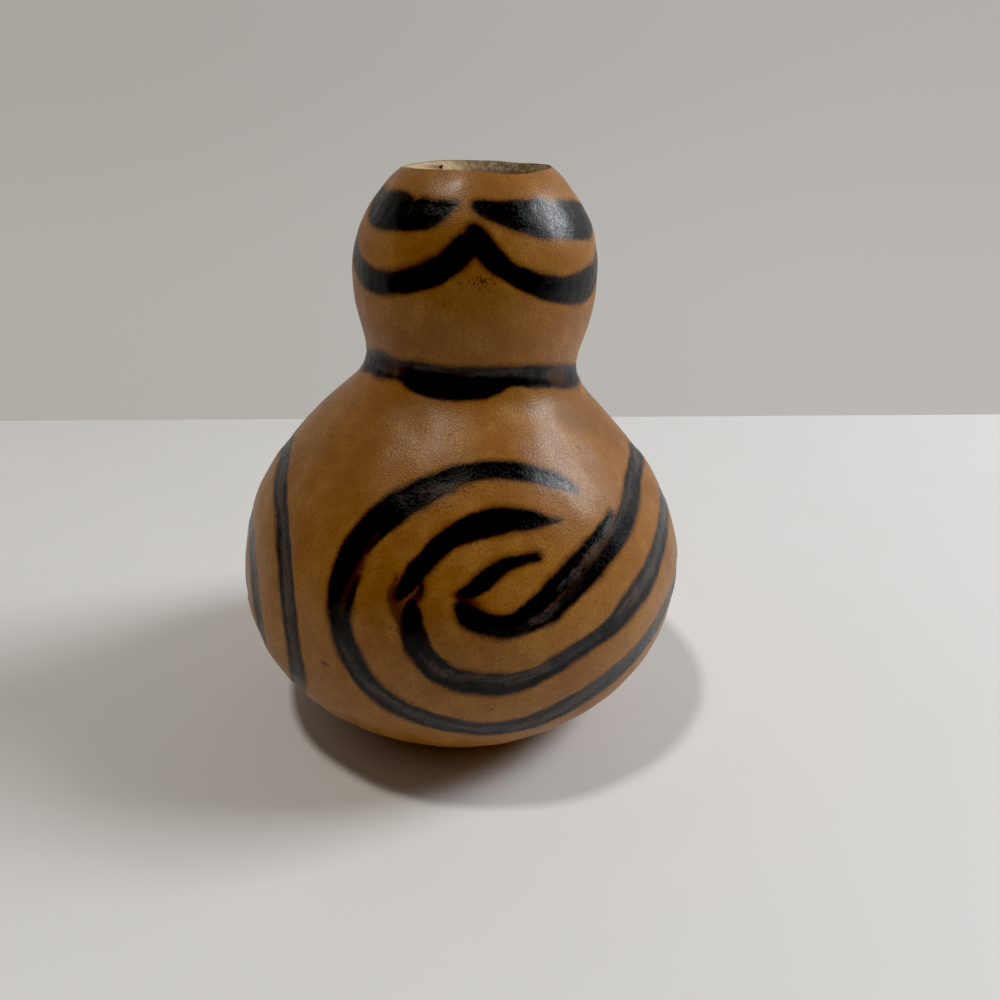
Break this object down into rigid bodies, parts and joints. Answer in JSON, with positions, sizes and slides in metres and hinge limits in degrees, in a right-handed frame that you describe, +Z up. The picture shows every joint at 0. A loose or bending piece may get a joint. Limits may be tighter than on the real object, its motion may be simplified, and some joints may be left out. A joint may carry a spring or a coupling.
{
  "type": "decorated gourd vase",
  "caption": "Dried bottle gourd, hollowed and cut open at the top, with a round belly, narrow waist and small upper bulb, marked with dark burnt swirls, swags and a waist band.",
  "frame": {"origin": "centre of the flat that the gourd stands on, below the middle of the belly", "axes": "+Z up from the flat to the open mouth, -Y towards the side with the large swirl, +X the side the neck leans to"},
  "size_m": [0.1152, 0.1152, 0.1385],
  "materials": {
    "gourd_shell": "burnt-orange dried gourd skin, hand waxed to a soft shine, with matt black burnt lines; pale raw shell at the cut rim and grey-tan scraped lining inside"
  },
  "bodies": {
    "root": {"gourd": "gourd_shell"}
  },
  "joints": []
}
